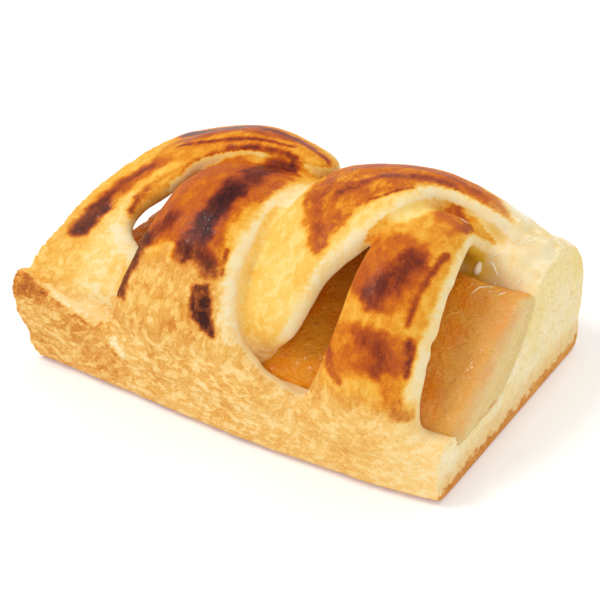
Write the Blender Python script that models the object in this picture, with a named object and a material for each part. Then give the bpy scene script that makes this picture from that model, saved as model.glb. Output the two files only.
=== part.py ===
"""A cut length of braided pear pastry: one baked dough body and the pear filling that runs through it.

Metres, +Z up. X runs along the pastry, -Y is its front and the origin is the middle of its flat underside.
The dough is a trough with strips that rise from its two walls and cross over the filling in turn.
"""

import math

import bmesh
import bpy
from mathutils import Matrix, Vector

MM = 0.001

RIGHT_END = 55.0 * MM
LEFT_END = -51.8 * MM
LEFT_SLANT = math.radians(15.6)
FLARE = 5.0 * MM
SHOULDER = 20.0 * MM
WALL = 8.0 * MM
FLOOR = 11.0 * MM
RIM = 15.5 * MM
REACH = 67.0 * MM
CROWN = 1.4 * MM
PEAR_GAP = 0.35 * MM
PEAR_SWAY = 0.5 * MM
PEAR_LEFT_INSET = 4.0 * MM
PEAR_RIGHT_INSET = 1.2 * MM
WELD = 0.005 * MM

STEPS_PER_STATION = 3
RING = 26
TROUGH_STEPS = 20
PEAR_STEPS = 24
SHARP_ANGLE = math.radians(42)

DOUGH_COLOUR = (0.62, 0.34, 0.11)
PEAR_COLOUR = (0.55, 0.23, 0.05)

# Shape of the outer skin along the pastry, each row as (x, value) in millimetres: the height of its crest, and
# how far it reaches from the middle at the front shoulder, at the front foot and at the back.
CREST = ((-66, 37), (-57, 37.6), (-50, 39.4), (-44, 42.4), (-35, 47.4), (-25, 51.4), (-12, 51.6), (0, 50),
         (12, 52), (25, 53.6), (36, 50.4), (46, 44.4), (55, 39.4), (66, 36))
FRONT_HALF = ((-66, 36.6), (-50, 36.4), (-38, 36.0), (-20, 36.6), (0, 37.4), (30, 37.6), (55, 36.4),
              (66, 36.0))
FRONT_FOOT = ((-66, 37.0), (-50, 37.4), (-41, 38.0), (-20, 39.8), (5, 41.2), (30, 41.2), (44, 40.6),
              (55, 39.0), (66, 38.0))
BACK_HALF = ((-66, 35.6), (-30, 36.0), (0, 36.4), (30, 36.8), (66, 36.8))

# Height of the dough that banks up behind the pear, and the height of the pear, along the pastry.
BANK = ((-66, 24.0), (-45, 24.4), (-20, 24.8), (10, 28), (32, 33.5), (45, 37.5), (55, 34.0), (66, 31.0))
PEAR_TOP = ((-66, 24.4), (-50, 25.2), (-35, 28.0), (-10, 31.5), (20, 33.3), (45, 32.2), (66, 31.6))

# Each strip is a ribbon laid over the crest. A station holds the wrap angle in degrees (0 is the front
# shoulder, 90 the crest, 180 the back shoulder), then x of the left and right edge, how far each edge stands
# proud of the skin, and the thickness there, in millimetres.
STRIPS = {
    "strip_4": (
        (-52, 8, 70, -3.0, -3.0, 4.0),
        (-38, 10.5, 58, -0.3, -0.3, 6.5),
        (-15, 16, 49.5, 0.0, 0.0, 7.5),
        (0, 18.6, 47.0, 0.2, 0.0, 7.5),
        (15, 21.3, 46.8, 0.4, 0.2, 7.5),
        (32, 22.8, 46.9, 0.5, 0.4, 7.5),
        (50, 22.6, 46.2, 0.3, 0.5, 7.5),
        (66, 22.6, 45.0, -0.4, 0.4, 7.5),
        (82, 23.5, 43.4, -2.0, 0.3, 7.2),
        (98, 26.5, 42.0, -3.8, -1.0, 7.0),
        (114, 31, 44, -6.4, -5.6, 6.4),
        (140, 38, 58, -8.0, -7.0, 5.5),
        (164, 44, 66, -8.0, -7.5, 5.0),
        (186, 47, 70, -8.5, -8.0, 4.0),
    ),
    "strip_3": (
        (232, -24, 76, -3.0, -3.0, 4.0),
        (218, -20, 76, -0.3, -0.3, 6.5),
        (195, -16, 76, 0.0, 0.0, 7.5),
        (176, -9, 76, 0.3, 0.2, 7.5),
        (155, -3, 74, 0.6, 0.3, 7.5),
        (138, -0.8, 70, 0.8, 0.4, 7.5),
        (125, -1.2, 57, 0.9, 0.4, 7.5),
        (116, -1.5, 40, 1.0, 0.6, 7.5),
        (108, -1.5, 29.5, 1.0, 0.8, 7.5),
        (96, -2.0, 26.8, 1.2, 0.8, 7.5),
        (80, -3.0, 24.2, 0.4, 0.8, 7.5),
        (66, -5.0, 20.0, -2.6, 0.4, 7.5),
        (50, -8, 14.6, -6.5, -1.2, 7.5),
        (32, -11, 12.4, -8.2, -3.6, 7.0),
        (15, -13, 9.0, -8.8, -6.4, 6.0),
        (0, -12, 4.6, -9.0, -8.4, 5.0),
        (-12, -9, 1.0, -9.2, -9.2, 3.6),
    ),
    "strip_2": (
        (-52, -50, 28, -3.0, -3.0, 4.0),
        (-38, -45, 24, -0.3, -0.3, 6.5),
        (-15, -38.8, 16, 0.0, 0.0, 7.5),
        (-4, -37.8, 7.6, 0.2, 0.4, 7.5),
        (8, -36.9, 0.8, 0.3, 0.8, 7.5),
        (22, -36.0, -2.8, 0.5, 1.0, 7.5),
        (40, -34.4, -4.8, 0.6, 1.0, 7.5),
        (57, -34.0, -4.6, 0.3, 0.8, 7.5),
        (72, -34.6, -3.8, -0.7, 0.0, 7.5),
        (85, -34.8, -2.8, -3.2, -1.2, 7.0),
        (101, -31, -1.0, -7.0, -3.8, 6.5),
        (125, -21, 2, -8.6, -7.4, 6.0),
        (150, -14, 5, -8.8, -8.4, 5.5),
        (172, -9, 7, -9.0, -8.8, 5.0),
        (190, -6, 5, -9.2, -9.2, 3.8),
    ),
    "strip_1": (
        (232, -76, -8, -3.0, -3.0, 4.0),
        (218, -76, -12, -0.3, -0.3, 6.5),
        (195, -76, -16, 0.0, 0.0, 7.5),
        (176, -76, -14, 0.2, 0.3, 7.5),
        (155, -76, -10, 0.3, 0.6, 7.5),
        (135, -76, -6.5, 0.4, 0.8, 7.5),
        (118, -76, -3.8, 0.5, 1.0, 7.5),
        (107, -76, -7.6, 0.5, 1.0, 7.5),
        (100, -76, -21.0, 0.5, 1.0, 7.5),
        (91, -76, -33.2, 0.5, 0.9, 7.5),
        (78, -76, -37.0, 0.4, 0.6, 7.5),
        (66, -76, -42.4, 0.2, 0.0, 7.5),
        (56, -76, -43.0, 0.0, -1.6, 7.5),
        (46, -76, -39.4, -0.4, -4.0, 7.2),
        (33, -76, -33.6, -1.4, -5.4, 7.0),
        (18, -76, -32.4, -3.0, -5.8, 6.2),
        (2, -76, -31.6, -4.4, -6.2, 5.2),
        (-12, -76, -31.6, -6.0, -6.8, 4.2),
    ),
    "front_lip": (
        (-52, -90, -24, -3.0, -3.0, 4.0),
        (-38, -90, -30, -0.3, -0.3, 6.5),
        (-15, -90, -38.0, 0.0, 0.5, 7.5),
        (-4, -90, -44.5, 0.2, 1.0, 7.5),
        (6, -90, -51.0, 0.4, 1.3, 7.2),
        (15, -90, -57.0, 0.6, 1.3, 6.8),
        (22, -90, -63.0, 0.8, 1.3, 6.4),
    ),
}
# Section of the pear filling as (y, z) in millimetres: a slab whose upper front face leans back.
PEAR_SECTION = ((-30.6, 14.6), (-27.6, 19.4), (-18.0, 26.0), (-8.0, 31.8), (1.0, 34.2), (7.0, 34.0),
                (9.4, 31.0), (5.6, 24.0), (-1.0, 17.4), (-7.0, 12.4), (-16.0, 11.6), (-28.5, 11.8))


def interpolate(table, u):
    """A Catmull-Rom curve through the rows of a table, at u from 0 to 1 along its rows."""
    last = len(table) - 1
    place = min(max(u, 0.0), 1.0) * last
    i = min(int(place), last - 1)
    f = place - i
    rows = [table[min(max(i + k, 0), last)] for k in (-1, 0, 1, 2)]
    return [
        0.5 * (2 * b + (c - a) * f + (2 * a - 5 * b + 4 * c - d) * f * f + (3 * b - a - 3 * c + d) * f ** 3)
        for a, b, c, d in zip(*rows)
    ]


def along(table, x):
    """The value at x of a table of (x, value) in millimetres, smoothed between its rows."""
    x = min(max(x / MM, table[0][0]), table[-1][0])
    for i in range(len(table) - 1):
        if x <= table[i + 1][0]:
            break
    f = (x - table[i][0]) / (table[i + 1][0] - table[i][0])
    return interpolate(table, (i + f) / (len(table) - 1))[1] * MM


def skin(x, angle):
    """A point of the outer skin at x and a wrap angle: walls below the shoulders, an arch above."""
    side = -1 if angle < 90 else 1
    half = along(FRONT_HALF if angle < 90 else BACK_HALF, x)
    if 0 <= angle <= 180:
        turn = math.radians(angle)
        return Vector((x, -half * math.cos(turn), SHOULDER + (along(CREST, x) - SHOULDER) * math.sin(turn)))
    below = (-angle if angle < 0 else angle - 180) / 90
    foot = along(FRONT_FOOT, x) if angle < 0 else half + 0.2 * MM
    reach = half + (foot - half) * math.sin(math.pi * below / 2)
    return Vector((x, side * reach, SHOULDER * (1 - below)))


def skin_normal(x, angle):
    """The outward normal of the skin."""
    step = 0.5
    up = skin(x, angle + step) - skin(x, angle - step)
    side = skin(x + MM, angle) - skin(x - MM, angle)
    return up.cross(side).normalized() * -1


def loft(name, rings):
    """A closed mesh object through rings of equal length, with both ends capped."""
    mesh = bpy.data.meshes.new(name)
    work = bmesh.new()
    rows = [[work.verts.new(p) for p in ring] for ring in rings]
    count = len(rows[0])
    for low, high in zip(rows, rows[1:]):
        for k in range(count):
            work.faces.new((low[k], low[(k + 1) % count], high[(k + 1) % count], high[k]))
    work.faces.new(rows[0])
    work.faces.new(rows[-1])
    bmesh.ops.recalc_face_normals(work, faces=work.faces)
    bmesh.ops.triangulate(work, faces=work.faces)
    work.to_mesh(mesh)
    work.free()
    obj = bpy.data.objects.new(name, mesh)
    bpy.context.scene.collection.objects.link(obj)
    return obj


def rounded(value, power):
    """A signed power of a cosine or sine, which squares off a round section."""
    return math.copysign(abs(value) ** power, value)


def strip(name, stations, grow=0.0):
    """A ribbon of dough with rounded edges, lofted over the skin. Its sections stand square to the skin."""
    rings = []
    steps = (len(stations) - 1) * STEPS_PER_STATION
    way = 1 if stations[-1][0] > stations[0][0] else -1
    for step in range(steps + 1):
        angle, left, right, lift_left, lift_right, thick = interpolate(stations, step / steps)
        if step in (0, steps):
            angle += math.copysign(math.degrees(grow / SHOULDER), way if step else -way)
        half = thick * MM / 2 + grow
        ring = []
        for k in range(RING):
            turn = 2 * math.pi * k / RING
            across = rounded(math.cos(turn), 0.62)
            out = rounded(math.sin(turn), 0.75)
            share = (across + 1) / 2
            x = (left + (right - left) * share) * MM + across * grow
            lift = (lift_left + (lift_right - lift_left) * share) * MM - thick * MM / 2
            lift += half * out + (CROWN * (1 - across * across) if out > 0 else 0.0) * out
            ring.append(skin(x, angle) + skin_normal(x, angle) * lift)
        rings.append(ring)
    return loft(name, rings)


def inset(x, z, back, depth):
    """How far from the middle the skin lies at a height above the shoulders, less a depth."""
    half = along(BACK_HALF if back else FRONT_HALF, x)
    share = min(max(z - SHOULDER, 0.0) / (along(CREST, x) - SHOULDER), 0.99)
    return half * math.sqrt(1 - share * share) - depth


def trough_ring(x, grow):
    """The closed section of the floor and the two walls at x, from the outer front foot round."""
    front = [-skin(x, angle).y - 0.3 * MM for angle in (-86, -70, -45, -25)]
    back = along(BACK_HALF, x) - 0.3 * MM
    inner = along(FRONT_HALF, x) - WALL
    bank = along(BANK, x)
    rise = bank - FLOOR
    scale = min(1.0, rise / (32 * MM - FLOOR))
    halfway = (bank + SHOULDER) / 2
    outline = [
        (-front[0] + 4.0 * MM, 0.0), (-front[0] + 1.2 * MM, 0.9 * MM),
        (-front[1], 4.4 * MM), (-front[2], 10.0 * MM), (-front[3], RIM - 1.5 * MM),
        (-front[3] + 2.0 * MM, RIM), (-inner - 2.0 * MM, RIM), (-inner, RIM - 1.5 * MM),
        (-inner + 1.0 * MM, FLOOR + 1.0 * MM), (-inner + 3.0 * MM, FLOOR), (-8.0 * MM, FLOOR),
        (-0.6 * MM, FLOOR + 5.4 * MM * scale), (6.4 * MM, FLOOR + 12.6 * MM * scale),
        (10.4 * MM, FLOOR + 19.4 * MM * scale), (11.8 * MM, bank - 0.12 * rise), (14.5 * MM, bank),
        (inset(x, bank, True, 3.5 * MM), bank), (inset(x, halfway, True, 2.5 * MM), halfway),
        (back, RIM), (back, 5.0 * MM), (back - 0.8 * MM, 1.0 * MM), (back - 3.0 * MM, 0.0),
    ]
    return [Vector((x, y, z)) for y, z in outward(outline, grow)]


def outward(outline, distance):
    """A clockwise (y, z) outline moved outward by a distance, corner by corner."""
    moved = []
    for before, here, after in zip(outline[-1:] + outline[:-1], outline, outline[1:] + outline[:1]):
        one = Vector((before[1] - here[1], here[0] - before[0])).normalized()
        two = Vector((here[1] - after[1], after[0] - here[0])).normalized()
        shift = (one + two) / max(1.0 + one.dot(two), 0.4) * distance
        moved.append((here[0] + shift.x, here[1] + shift.y))
    return moved


def trough(name, grow=0.0):
    """The floor and the two walls that the strips rise from."""
    rings = [trough_ring(REACH * (2 * i / TROUGH_STEPS - 1), grow) for i in range(TROUGH_STEPS + 1)]
    return loft(name, rings)


def pear(name):
    """The pear filling from end to end, as a slab of cooked pear with a slightly uneven surface."""
    rings = []
    tallest = max(z for _, z in PEAR_SECTION) * MM
    for i in range(PEAR_STEPS + 1):
        x = REACH * (2 * i / PEAR_STEPS - 1)
        sway = PEAR_SWAY * math.sin(math.tau * x / (70 * MM))
        scale = (along(PEAR_TOP, x) - FLOOR) / (tallest - FLOOR)
        ring = [(y * MM + sway, FLOOR + (z * MM - FLOOR) * scale) for y, z in PEAR_SECTION]
        rings.append([Vector((x, y, z)) for y, z in ring])
    return loft(name, rings)


def group(name, hidden=False):
    """A collection in the scene; a hidden one holds cutters, which are never rendered."""
    found = bpy.data.collections.new(name)
    bpy.context.scene.collection.children.link(found)
    found.hide_render = hidden
    return found


def put(obj, collection):
    """Move an object from the scene's own collection to another one."""
    bpy.context.scene.collection.objects.unlink(obj)
    collection.objects.link(obj)


def apply_all(obj):
    """Replace the object's mesh by its evaluated one and drop its modifiers."""
    graph = bpy.context.evaluated_depsgraph_get()
    mesh = bpy.data.meshes.new_from_object(obj.evaluated_get(graph))
    obj.modifiers.clear()
    obj.data = mesh
    mesh.name = obj.name


def combine(obj, others, operation):
    """Apply one Boolean of the object with a collection of others, which are removed afterwards."""
    modifier = obj.modifiers.new(operation.lower(), "BOOLEAN")
    modifier.operation = operation
    modifier.solver = "EXACT"
    modifier.use_self = True
    modifier.operand_type = "COLLECTION"
    modifier.collection = others
    apply_all(obj)
    for other in list(others.objects):
        bpy.data.objects.remove(other)
    bpy.data.collections.remove(others)


def end_cutter(name, x, turn, side):
    """A block whose inner face is the plane of a cut end, turned about the upright axis."""
    size = Vector((60, 160, 120)) * MM
    mesh = bpy.data.meshes.new(name)
    work = bmesh.new()
    bmesh.ops.create_cube(work, size=1.0)
    bmesh.ops.scale(work, vec=size, verts=work.verts)
    bmesh.ops.translate(work, vec=Vector((side * size.x / 2, 0, 0)), verts=work.verts)
    bmesh.ops.rotate(work, matrix=Matrix.Rotation(-turn, 3, "Z"), verts=work.verts)
    bmesh.ops.translate(work, vec=Vector((x, 0, 0)), verts=work.verts)
    work.to_mesh(mesh)
    work.free()
    cutter = bpy.data.objects.new(name, mesh)
    cutter.display_type = "WIRE"
    bpy.context.scene.collection.objects.link(cutter)
    return cutter


def cut_ends(obj, left_inset, right_inset):
    """Cut both ends of the pastry off upright; the left cut runs aslant."""
    cutters = group(obj.name + "_cutters", hidden=True)
    put(end_cutter("left_cutter", LEFT_END + left_inset, LEFT_SLANT, -1), cutters)
    put(end_cutter("right_cutter", RIGHT_END - right_inset, 0.0, 1), cutters)
    combine(obj, cutters, "DIFFERENCE")


def tidy(obj):
    """Keep the outer shell of the largest piece, weld it and leave it in triangles."""
    work = bmesh.new()
    work.from_mesh(obj.data)
    bmesh.ops.remove_doubles(work, verts=work.verts, dist=WELD)
    bmesh.ops.dissolve_degenerate(work, edges=work.edges, dist=WELD)
    bmesh.ops.triangulate(work, faces=work.faces)
    left = set(work.verts)
    shells = []
    while left:
        shell, front = set(), [left.pop()]
        while front:
            vert = front.pop()
            shell.add(vert)
            for edge in vert.link_edges:
                other = edge.other_vert(vert)
                if other in left:
                    left.remove(other)
                    front.append(other)
        shells.append(shell)
    shells.sort(key=lambda shell: -max(v.co.x for v in shell) + min(v.co.x for v in shell))
    bmesh.ops.delete(work, geom=[v for shell in shells[1:] for v in shell], context="VERTS")
    bmesh.ops.recalc_face_normals(work, faces=work.faces)
    work.to_mesh(obj.data)
    work.free()


def ease(value):
    """A smooth step from 0 to 1."""
    value = min(max(value, 0.0), 1.0)
    return value * value * (3 - 2 * value)


def flare(obj):
    """Lean the front corner of the left end outward with height, as the free lip of dough there does."""
    for vert in obj.data.vertices:
        x, y, z = vert.co / MM
        share = ease((-y - 24) / 10) * ease((-x - 44) / 12) * ease((36 - z) / 9)
        vert.co.x -= FLARE * share * (min(z, 27.0) / 27.0 - 0.55)


def finish(obj, colour, roughness, collection):
    """Give a piece its material and smooth shading, and put it in its collection."""
    material = bpy.data.materials.new(obj.name)
    material.use_nodes = True
    shader = material.node_tree.nodes["Principled BSDF"]
    shader.inputs["Base Color"].default_value = (*colour, 1.0)
    shader.inputs["Roughness"].default_value = roughness
    obj.data.materials.clear()
    obj.data.materials.append(material)
    obj.data.shade_smooth()
    obj.data.set_sharp_from_angle(angle=SHARP_ANGLE)
    put(obj, collection)


def make_dough():
    """The trough and its strips as one solid, cut off at both ends."""
    dough = trough("dough")
    strips = group("strips")
    for name, stations in STRIPS.items():
        put(strip(name, stations), strips)
    combine(dough, strips, "UNION")
    cut_ends(dough, 0.0, 0.0)
    tidy(dough)
    flare(dough)
    return dough


def make_filling():
    """The pear filling, cut back wherever it would come closer than the gap to the dough."""
    filling = pear("pear_filling")
    cut_ends(filling, PEAR_LEFT_INSET, PEAR_RIGHT_INSET)
    cutters = group("filling_cutters", hidden=True)
    put(trough("trough_cutter", PEAR_GAP), cutters)
    for name, stations in STRIPS.items():
        put(strip(name + "_cutter", stations, PEAR_GAP), cutters)
    combine(filling, cutters, "DIFFERENCE")
    tidy(filling)
    flare(filling)
    return filling


def build():
    """Build the two pieces of the pastry, with the origin under the middle of its box."""
    for obj in list(bpy.data.objects):
        bpy.data.objects.remove(obj)
    dough = make_dough()
    filling = make_filling()
    low = [min(v.co[axis] for v in dough.data.vertices) for axis in range(3)]
    high = [max(v.co[axis] for v in dough.data.vertices) for axis in range(3)]
    middle = Vector(((low[0] + high[0]) / 2, (low[1] + high[1]) / 2, low[2]))
    pastry = group("pear_pie")
    for obj, colour, roughness in ((dough, DOUGH_COLOUR, 0.55), (filling, PEAR_COLOUR, 0.35)):
        obj.data.transform(Matrix.Translation(-middle))
        finish(obj, colour, roughness, pastry)


build()
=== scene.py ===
"""A cut length of braided pear pastry, baked, glazed and filled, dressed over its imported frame.

Shapes are worked out in millimetres along the pastry: x runs from the slanted left end to the square
right end and -y is the front. The wrap angle of a strap is 0 at the front shoulder, 90 on the crest and 180
at the back shoulder.
"""

import logging
import math
from dataclasses import dataclass, field
from enum import Enum

import bpy
import numpy as np
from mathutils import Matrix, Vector, kdtree, noise

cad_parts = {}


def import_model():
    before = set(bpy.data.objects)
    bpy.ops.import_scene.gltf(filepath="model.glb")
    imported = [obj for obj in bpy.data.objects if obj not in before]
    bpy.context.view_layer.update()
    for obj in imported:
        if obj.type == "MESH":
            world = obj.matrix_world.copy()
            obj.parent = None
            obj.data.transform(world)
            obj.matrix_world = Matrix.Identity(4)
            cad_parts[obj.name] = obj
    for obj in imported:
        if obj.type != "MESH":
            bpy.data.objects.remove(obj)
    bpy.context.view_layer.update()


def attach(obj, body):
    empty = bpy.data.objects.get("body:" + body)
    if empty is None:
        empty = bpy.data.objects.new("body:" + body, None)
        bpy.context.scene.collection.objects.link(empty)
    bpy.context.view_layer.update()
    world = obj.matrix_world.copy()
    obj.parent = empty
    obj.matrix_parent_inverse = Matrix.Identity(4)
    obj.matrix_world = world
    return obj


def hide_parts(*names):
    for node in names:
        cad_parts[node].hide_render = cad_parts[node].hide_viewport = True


log = logging.getLogger("pear_pastry")

MM = 0.001
MM_PER_DEGREE = 0.6
FALLOFF, FINER = 0.8, 2.1  # how each finer layer of noise weakens, and how much finer it is
FRAME_SHIFT = Vector((4.494, 1.265, 0.0)) * MM

Rows = tuple[tuple[float, ...], ...]


def select_only(obj: bpy.types.Object) -> None:
    """Make an object the only selected and the active one.

    Args:
        obj: The object to work on.
    """
    bpy.ops.object.select_all(action="DESELECT")
    obj.select_set(True)
    bpy.context.view_layer.objects.active = obj


def apply_modifier(obj: bpy.types.Object, kind: str, **settings: object) -> None:
    """Add a modifier, set it and apply it at once.

    Args:
        obj: The object to change.
        kind: Blender's type of modifier.
        settings: The modifier's properties.
    """
    select_only(obj)
    bpy.ops.object.modifier_add(type=kind)
    modifier = obj.modifiers[-1]
    for key, value in settings.items():
        setattr(modifier, key, value)
    bpy.ops.object.modifier_apply(modifier=modifier.name)


def points_of(obj: bpy.types.Object) -> np.ndarray:
    """Read the places of a mesh's vertices.

    Args:
        obj: A mesh object.

    Returns:
        An array of (count, 3) in metres.
    """
    flat = np.empty(len(obj.data.vertices) * 3)
    obj.data.vertices.foreach_get("co", flat)
    return flat.reshape(-1, 3)


def normals_of(obj: bpy.types.Object) -> np.ndarray:
    """Read the normals of a mesh's vertices.

    Args:
        obj: A mesh object.

    Returns:
        An array of (count, 3).
    """
    flat = np.empty(len(obj.data.vertices) * 3)
    obj.data.vertices.foreach_get("normal", flat)
    return flat.reshape(-1, 3)


def move_points(obj: bpy.types.Object, places: np.ndarray) -> None:
    """Put a mesh's vertices at new places, in metres."""
    obj.data.vertices.foreach_set("co", places.ravel())
    obj.data.update()


def write_attribute(obj: bpy.types.Object, name: str, values: np.ndarray) -> None:
    """Keep one number, or one vector, for each vertex where the finish can read it.

    Args:
        obj: A mesh object.
        name: The attribute's name.
        values: An array of (count,) or (count, 3).
    """
    is_vector = values.ndim == 2
    layer = obj.data.attributes.new(name, "FLOAT_VECTOR" if is_vector else "FLOAT", "POINT")
    layer.data.foreach_set("vector" if is_vector else "value", values.astype(np.float32).ravel())


def ease(values: np.ndarray) -> np.ndarray:
    """Turn numbers into smooth steps from 0 to 1."""
    held = np.clip(values, 0.0, 1.0)
    return held * held * (3.0 - 2.0 * held)


def rise(values: np.ndarray, start: float, width: float) -> np.ndarray:
    """Ease from 0 to 1 while the values run on from a start over a width."""
    return ease((values - start) / width)


def fall(values: np.ndarray, end: float, width: float) -> np.ndarray:
    """Ease from 1 to 0 while the values run up to an end over a width."""
    return ease((end - values) / width)


def cloud(points: np.ndarray, size: float, octaves: int = 2, seed: float = 0.0) -> np.ndarray:
    """Read soft random bumps at points.

    Args:
        points: Places in millimetres, (count, 3).
        size: How wide one bump is, in millimetres.
        octaves: How many finer layers are added.
        seed: A shift that gives another pattern.

    Returns:
        Numbers from about -1 to 1.
    """
    offset = Vector((seed * 7.31, seed * 3.17, seed * 5.53))
    return np.array([
        noise.fractal(Vector(point) / size + offset, FALLOFF, FINER, octaves, noise_basis="PERLIN_ORIGINAL")
        for point in points
    ])


@dataclass(frozen=True)
class Profile:
    """A smooth curve through rows of numbers, in millimetres and degrees."""

    rows: Rows

    def step(self, share: np.ndarray) -> np.ndarray:
        """Read all columns part of the way along the rows.

        Args:
            share: Places from 0 at the first row to 1 at the last.

        Returns:
            One row for each place.
        """
        table = np.array(self.rows, float)
        last = len(table) - 1
        place = np.clip(share, 0.0, 1.0) * last
        row = np.minimum(place.astype(int), last - 1)
        f = (place - row)[:, None]
        a, b, c, d = (table[np.clip(row + k, 0, last)] for k in (-1, 0, 1, 2))
        bend, turn = 2 * a - 5 * b + 4 * c - d, 3 * b - a - 3 * c + d
        return 0.5 * (2 * b + (c - a) * f + bend * f * f + turn * f**3)

    def at(self, x: np.ndarray) -> np.ndarray:
        """Read the second column where the first is x.

        Args:
            x: Numbers of the first column.

        Returns:
            One number for each of them.
        """
        marks = np.array([row[0] for row in self.rows])
        held = np.clip(x, marks[0], marks[-1])
        row = np.clip(np.searchsorted(marks, held) - 1, 0, len(marks) - 2)
        f = (held - marks[row]) / (marks[row + 1] - marks[row])
        return self.step((row + f) / (len(marks) - 1))[:, 1]


@dataclass(frozen=True)
class Skin:
    """The outer skin that the straps are laid on: two upright walls and an arch over them."""

    crest: Profile = Profile((
        (-66, 37), (-57, 37.6), (-50, 39.4), (-44, 42.4), (-35, 47.4), (-25, 51.4), (-12, 51.6), (0, 50),
        (12, 52), (25, 53.6), (36, 50.4), (46, 44.4), (55, 39.4), (66, 36),
    ))
    front: Profile = Profile((
        (-66, 36.6), (-50, 36.4), (-38, 36.0), (-20, 36.6), (0, 37.4), (30, 37.6), (55, 36.4), (66, 36.0),
    ))
    foot: Profile = Profile((
        (-66, 37.0), (-50, 37.4), (-41, 38.0), (-20, 39.8), (5, 41.2), (30, 41.2), (44, 40.6), (55, 39.0),
        (66, 38.0),
    ))
    back: Profile = Profile(((-66, 35.6), (-30, 36.0), (0, 36.4), (30, 36.8), (66, 36.8)))
    shoulder: float = 20.0

    def point(self, x: np.ndarray, angle: np.ndarray) -> np.ndarray:
        """Find points of the skin.

        Args:
            x: Places along the pastry.
            angle: Wrap angles in degrees; below 0 and above 180 they run down the walls.

        Returns:
            Places in millimetres, (count, 3).
        """
        half = np.where(angle < 90, self.front.at(x), self.back.at(x))
        turn = np.radians(np.clip(angle, 0, 180))
        arch_y = -half * np.cos(turn)
        arch_z = self.shoulder + (self.crest.at(x) - self.shoulder) * np.sin(turn)
        below = np.maximum(np.where(angle < 0, -angle, angle - 180), 0.0) / 90
        foot = np.where(angle < 0, self.foot.at(x), half + 0.2)
        wall_y = np.where(angle < 90, -1, 1) * (half + (foot - half) * np.sin(np.pi * below / 2))
        is_wall = (angle < 0) | (angle > 180)
        return np.stack([
            x, np.where(is_wall, wall_y, arch_y), np.where(is_wall, self.shoulder * (1 - below), arch_z),
        ], axis=1)

    def normal(self, x: np.ndarray, angle: np.ndarray) -> np.ndarray:
        """Find the outward normals of the skin.

        Args:
            x: Places along the pastry.
            angle: Wrap angles in degrees.

        Returns:
            Unit vectors, (count, 3).
        """
        up = self.point(x, angle + 0.5) - self.point(x, angle - 0.5)
        side = self.point(x + 1, angle) - self.point(x - 1, angle)
        out = -np.cross(up, side)
        return out / np.linalg.norm(out, axis=1)[:, None]

    def angle(self, points: np.ndarray) -> np.ndarray:
        """Find the wrap angle of places.

        Args:
            points: Places in millimetres, (count, 3).

        Returns:
            Angles in degrees.
        """
        x, y, z = points.T
        half = np.where(y < 0, self.front.at(x), self.back.at(x))
        arch = np.degrees(np.arctan2((z - self.shoulder) / (self.crest.at(x) - self.shoulder), -y / half))
        below = (1 - z / self.shoulder) * 90
        return np.where(z < self.shoulder, np.where(y < 0, -below, 180 + below), arch)


SKIN = Skin()


def join(parts: list[bpy.types.Object], name: str) -> bpy.types.Object:
    """Join mesh objects into one.

    Args:
        parts: The objects, which become one.
        name: What that one is called.

    Returns:
        The joined object.
    """
    bpy.ops.object.select_all(action="DESELECT")
    for part in parts:
        part.select_set(True)
    bpy.context.view_layer.objects.active = parts[0]
    bpy.ops.object.join()
    joined = bpy.context.object
    joined.name = name
    return joined


def tube(name: str, rings: np.ndarray) -> bpy.types.Object:
    """Wrap a grid into a closed tube through rings of points.

    Args:
        name: The new object's name.
        rings: Places in millimetres, (rings, points round, 3).

    Returns:
        The tube, with both ends filled.
    """
    count, around = rings.shape[:2]
    bpy.ops.object.select_all(action="DESELECT")
    bpy.ops.mesh.primitive_grid_add(x_subdivisions=around, y_subdivisions=count - 1, size=1)
    obj = bpy.context.object
    obj.name = name
    closed = np.concatenate([rings, rings[:, :1]], axis=1)
    move_points(obj, closed.reshape(-1, 3) * MM)
    bpy.ops.object.mode_set(mode="EDIT")
    bpy.ops.mesh.select_all(action="SELECT")
    bpy.ops.mesh.remove_doubles(threshold=1e-6)
    bpy.ops.mesh.fill_holes(sides=0)
    bpy.ops.mesh.select_all(action="SELECT")
    bpy.ops.mesh.normals_make_consistent(inside=False)
    bpy.ops.object.mode_set(mode="OBJECT")
    return obj


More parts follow.
